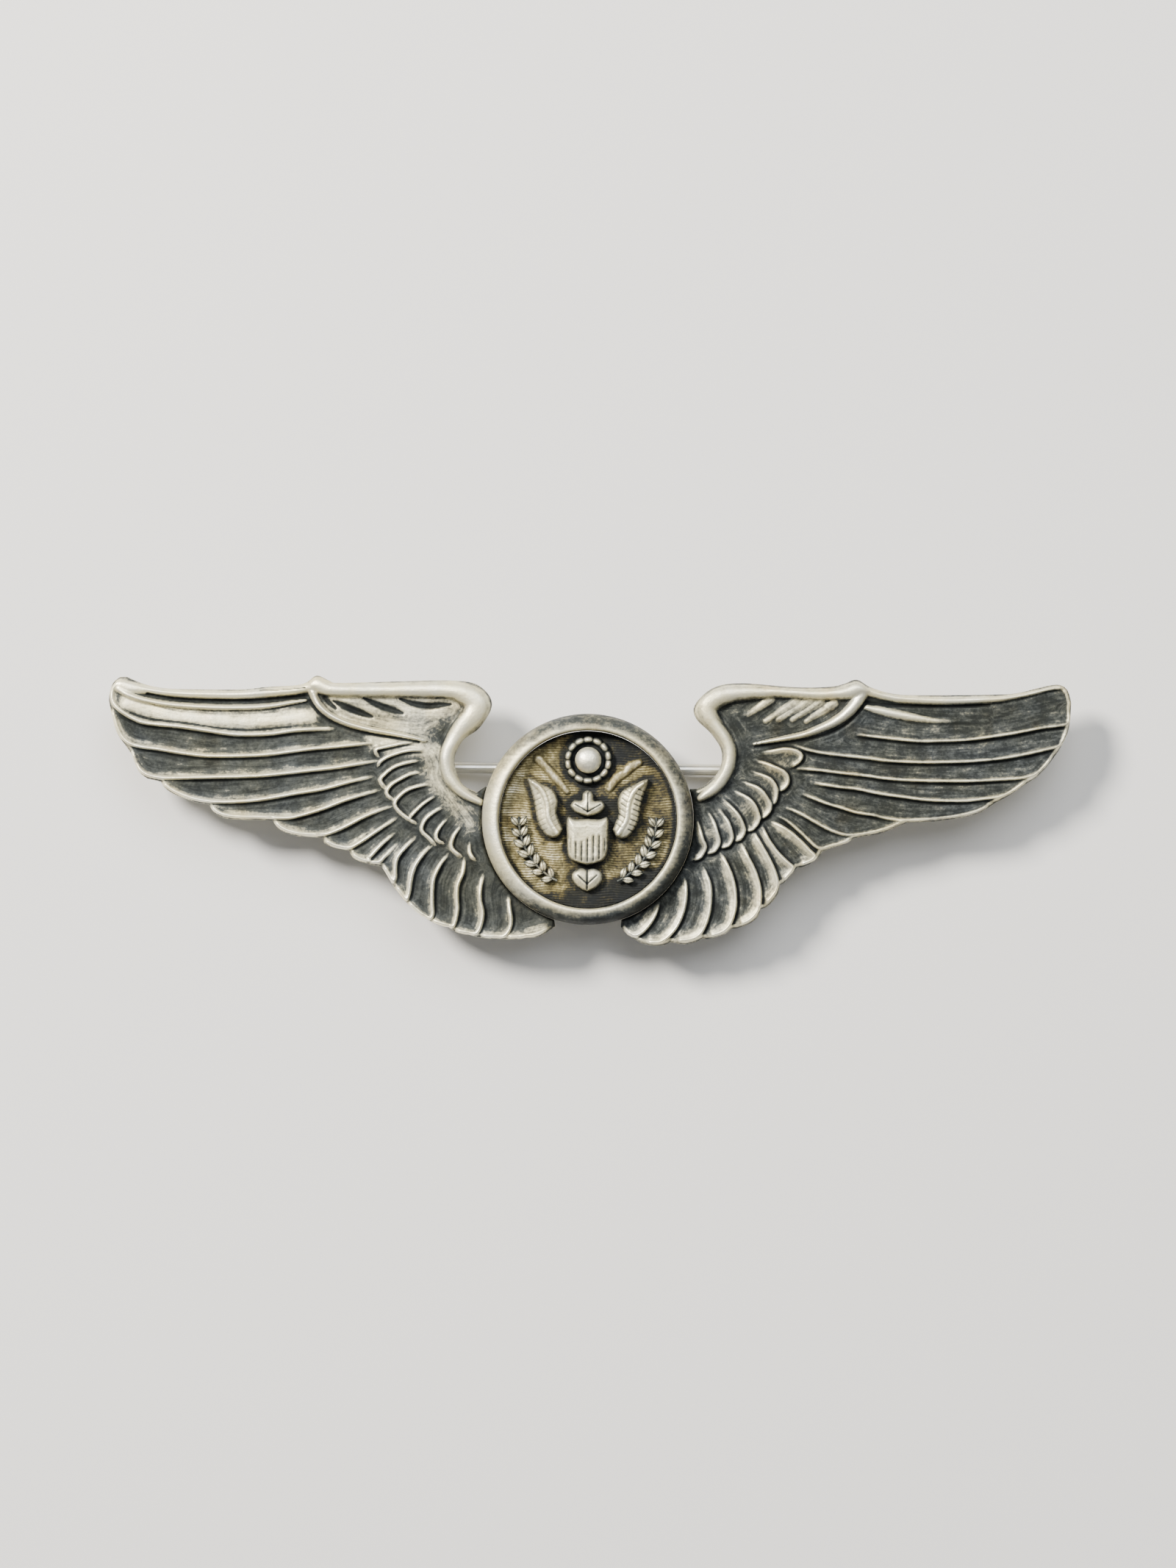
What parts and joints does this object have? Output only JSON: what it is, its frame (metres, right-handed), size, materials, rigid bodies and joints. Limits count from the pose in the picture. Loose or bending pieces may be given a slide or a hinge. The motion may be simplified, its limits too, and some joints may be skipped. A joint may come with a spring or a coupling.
{
  "type": "aircrew wings badge",
  "caption": "Metal wings badge with feathered wings either side of a ringed disc with a plain crest, and a hinged pin with a turning safety catch behind.",
  "frame": {"origin": "centre of the disc's flat back, which lies in the plane of the wings' flat backs", "axes": "+X along the wingspan, +Y to the top of the badge, +Z out of its struck face"},
  "size_m": [0.0762, 0.0212, 0.0074],
  "materials": {
    "oxidised_silver": "struck silver, dark oxide in the recesses, high places rubbed bright",
    "ring_silver": "satin silver, warm tone, fine scratches",
    "toned_silver": "ochre-brown tarnish over a field of fine lines",
    "nickel_findings": "dull nickel silver",
    "pin_steel": "drawn wire, lightly polished"
  },
  "bodies": {
    "badge": {"left_wing": "oxidised_silver", "right_wing": "oxidised_silver", "medallion_disc": "toned_silver", "bezel_ring": "ring_silver", "crest_shield": "oxidised_silver", "crest_palmette": "oxidised_silver", "crest_finial": "oxidised_silver", "crest_boss": "oxidised_silver", "crest_collar": "oxidised_silver", "crest_plume_left": "oxidised_silver", "crest_plume_right": "oxidised_silver", "laurel_left": "oxidised_silver", "laurel_right": "oxidised_silver", "hinge_plate": "nickel_findings", "hinge_bracket": "nickel_findings", "hinge_rivet": "pin_steel", "catch_plate": "nickel_findings", "catch_body": "nickel_findings"},
    "pin": {"pin_stem": "pin_steel"},
    "catch_sleeve": {"catch_rotor": "pin_steel"}
  },
  "joints": [
    {"name": "pin_swing", "type": "hinge", "parent": "badge", "child": "pin", "pos_m": [-0.022, 0.004, -0.00265], "axis": [0, 1, 0], "range_deg": [0, 95]},
    {"name": "catch_turn", "type": "hinge", "parent": "badge", "child": "catch_sleeve", "pos_m": [0.022, 0.004, -0.00265], "axis": [1, 0, 0], "range_deg": [0, 115]}
  ]
}
